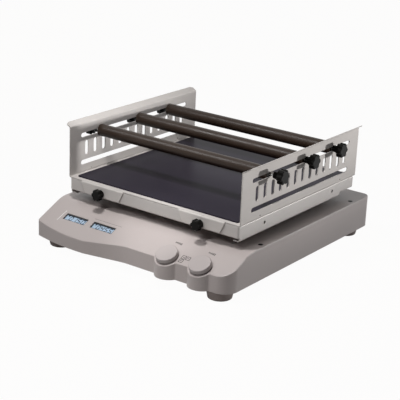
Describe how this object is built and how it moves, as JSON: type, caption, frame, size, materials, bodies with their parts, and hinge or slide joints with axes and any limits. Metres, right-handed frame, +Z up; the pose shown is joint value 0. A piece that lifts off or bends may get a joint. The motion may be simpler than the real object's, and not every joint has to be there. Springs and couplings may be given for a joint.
{
  "type": "linear laboratory shaker",
  "caption": "Low laboratory shaker with a sloping control panel, and a sliding tray whose slotted side plates carry cushioned bars over a dark mat.",
  "frame": {"origin": "on the bench, below the middle of the base", "axes": "+Z up, +Y from the control panel towards the rear wall, +X to the user's right"},
  "size_m": [0.3884, 0.425, 0.1936],
  "materials": {
    "housing": "fine satin, warm taupe grey",
    "black_steel": "black powder coat",
    "foot_rubber": "dull",
    "zinc_screw": "zinc plated",
    "black_plastic": "satin",
    "hard_shaft": "ground and polished",
    "bare_aluminium": "milled",
    "machined_steel": "machined",
    "tray_steel": "light grey coat on sheet steel",
    "stainless": "fine brushed stainless sheet",
    "mat_rubber": "smooth with a slight sheen",
    "motor_paint": "black",
    "white_plastic": "natural",
    "display": "clear face over a pale blue segment display",
    "circuit_board": "solder mask",
    "encoder_metal": "plated",
    "control_knob": "satin",
    "rod_steel": "bright threaded rod",
    "sleeve_rubber": "satin, dark brown black",
    "star_knob": "fine texture, black"
  },
  "bodies": {
    "base": {"housing": "housing", "base_plate": "black_steel", "rubber_feet": "foot_rubber", "foot_screws": "zinc_screw", "housing_screws": "zinc_screw", "deck_plugs": "black_plastic", "guide_shafts": "hard_shaft", "shaft_supports": "bare_aluminium", "motor_mount": "machined_steel", "motor": "motor_paint", "speed_display": "display", "time_display": "display", "display_board": "circuit_board", "speed_encoder": "encoder_metal", "time_encoder": "encoder_metal", "board_standoffs": "zinc_screw", "control_board": "circuit_board", "power_board": "circuit_board", "power_inlet": "black_plastic", "switch_frame": "black_plastic"},
    "platform": {"platform_tray": "tray_steel", "attachment_frame": "stainless", "mat": "mat_rubber", "weld_nuts": "zinc_screw", "platform_posts": "bare_aluminium", "tray_screws": "zinc_screw", "carriage_screws": "zinc_screw", "carriage": "bare_aluminium", "drive_yoke": "machined_steel", "bearing_blocks": "bare_aluminium", "linear_bearings": "hard_shaft"},
    "crank_shaft": {"crank": "machined_steel", "crank_roller": "white_plastic", "motor_shaft": "hard_shaft"},
    "speed_control": {"speed_knob": "control_knob", "speed_knob_shaft": "encoder_metal"},
    "time_control": {"time_knob": "control_knob", "time_knob_shaft": "encoder_metal"},
    "power_button": {"power_rocker": "black_plastic"},
    "front_bar": {"front_bar_rod": "rod_steel", "front_bar_sleeve": "sleeve_rubber"},
    "front_left_star_knob": {"front_bar_left_knob": "star_knob"},
    "front_right_star_knob": {"front_bar_right_knob": "star_knob"},
    "middle_bar": {"middle_bar_rod": "rod_steel", "middle_bar_sleeve": "sleeve_rubber"},
    "middle_left_star_knob": {"middle_bar_left_knob": "star_knob"},
    "middle_right_star_knob": {"middle_bar_right_knob": "star_knob"},
    "rear_bar": {"rear_bar_rod": "rod_steel", "rear_bar_sleeve": "sleeve_rubber"},
    "rear_left_star_knob": {"rear_bar_left_knob": "star_knob"},
    "rear_right_star_knob": {"rear_bar_right_knob": "star_knob"},
    "front_left_screw": {"front_left_thumb_screw": "star_knob"},
    "front_right_screw": {"front_right_thumb_screw": "star_knob"},
    "rear_left_screw": {"rear_left_thumb_screw": "star_knob"},
    "rear_right_screw": {"rear_right_thumb_screw": "star_knob"}
  },
  "joints": [
    {"name": "platform_slide", "type": "slide", "parent": "base", "child": "platform", "axis": [1, 0, 0], "range_m": [-0.005, 0.005]},
    {"name": "crank_turn", "type": "hinge", "parent": "base", "child": "crank_shaft", "pos_m": [0, 0.019, 0.04], "axis": [0, 0, 1], "range_deg": [-90, 90]},
    {"name": "speed_knob_turn", "type": "hinge", "parent": "base", "child": "speed_control", "pos_m": [0.071, -0.19216, 0.04519], "axis": [0, -0.4226, 0.9063], "continuous": true},
    {"name": "time_knob_turn", "type": "hinge", "parent": "base", "child": "time_control", "pos_m": [0.133, -0.19216, 0.04519], "axis": [0, -0.4226, 0.9063], "continuous": true},
    {"name": "power_rocker_tip", "type": "hinge", "parent": "base", "child": "power_button", "pos_m": [0.125, 0.201, 0.04], "axis": [1, 0, 0], "range_deg": [0, 16]},
    {"name": "front_bar_slide", "type": "slide", "parent": "platform", "child": "front_bar", "axis": [0, 1, 0], "range_m": [-0.0435, 0.0335]},
    {"name": "front_left_knob_turn", "type": "hinge", "parent": "front_bar", "child": "front_left_star_knob", "pos_m": [-0.178, -0.073, 0.1685], "axis": [-1, 0, 0], "continuous": true},
    {"name": "front_right_knob_turn", "type": "hinge", "parent": "front_bar", "child": "front_right_star_knob", "pos_m": [0.178, -0.073, 0.1685], "axis": [1, 0, 0], "continuous": true},
    {"name": "middle_bar_slide", "type": "slide", "parent": "platform", "child": "middle_bar", "axis": [0, 1, 0], "range_m": [-0.0395, 0.0285]},
    {"name": "middle_left_knob_turn", "type": "hinge", "parent": "middle_bar", "child": "middle_left_star_knob", "pos_m": [-0.178, 0.025, 0.1685], "axis": [-1, 0, 0], "continuous": true},
    {"name": "middle_right_knob_turn", "type": "hinge", "parent": "middle_bar", "child": "middle_right_star_knob", "pos_m": [0.178, 0.025, 0.1685], "axis": [1, 0, 0], "continuous": true},
    {"name": "rear_bar_slide", "type": "slide", "parent": "platform", "child": "rear_bar", "axis": [0, 1, 0], "range_m": [-0.0285, 0.0455]},
    {"name": "rear_left_knob_turn", "type": "hinge", "parent": "rear_bar", "child": "rear_left_star_knob", "pos_m": [-0.178, 0.107, 0.1685], "axis": [-1, 0, 0], "continuous": true},
    {"name": "rear_right_knob_turn", "type": "hinge", "parent": "rear_bar", "child": "rear_right_star_knob", "pos_m": [0.178, 0.107, 0.1685], "axis": [1, 0, 0], "continuous": true},
    {"name": "front_left_screw_turn", "type": "hinge", "parent": "platform", "child": "front_left_screw", "pos_m": [-0.098, -0.151, 0.093], "axis": [0, -1, 0], "continuous": true},
    {"name": "front_right_screw_turn", "type": "hinge", "parent": "platform", "child": "front_right_screw", "pos_m": [0.098, -0.151, 0.093], "axis": [0, -1, 0], "continuous": true},
    {"name": "rear_left_screw_turn", "type": "hinge", "parent": "platform", "child": "rear_left_screw", "pos_m": [-0.098, 0.189, 0.093], "axis": [0, 1, 0], "continuous": true},
    {"name": "rear_right_screw_turn", "type": "hinge", "parent": "platform", "child": "rear_right_screw", "pos_m": [0.098, 0.189, 0.093], "axis": [0, 1, 0], "continuous": true}
  ],
  "couplings": [
    {"joint": "crank_turn", "follows": "platform_slide", "rad_per_m": -314.16}
  ]
}
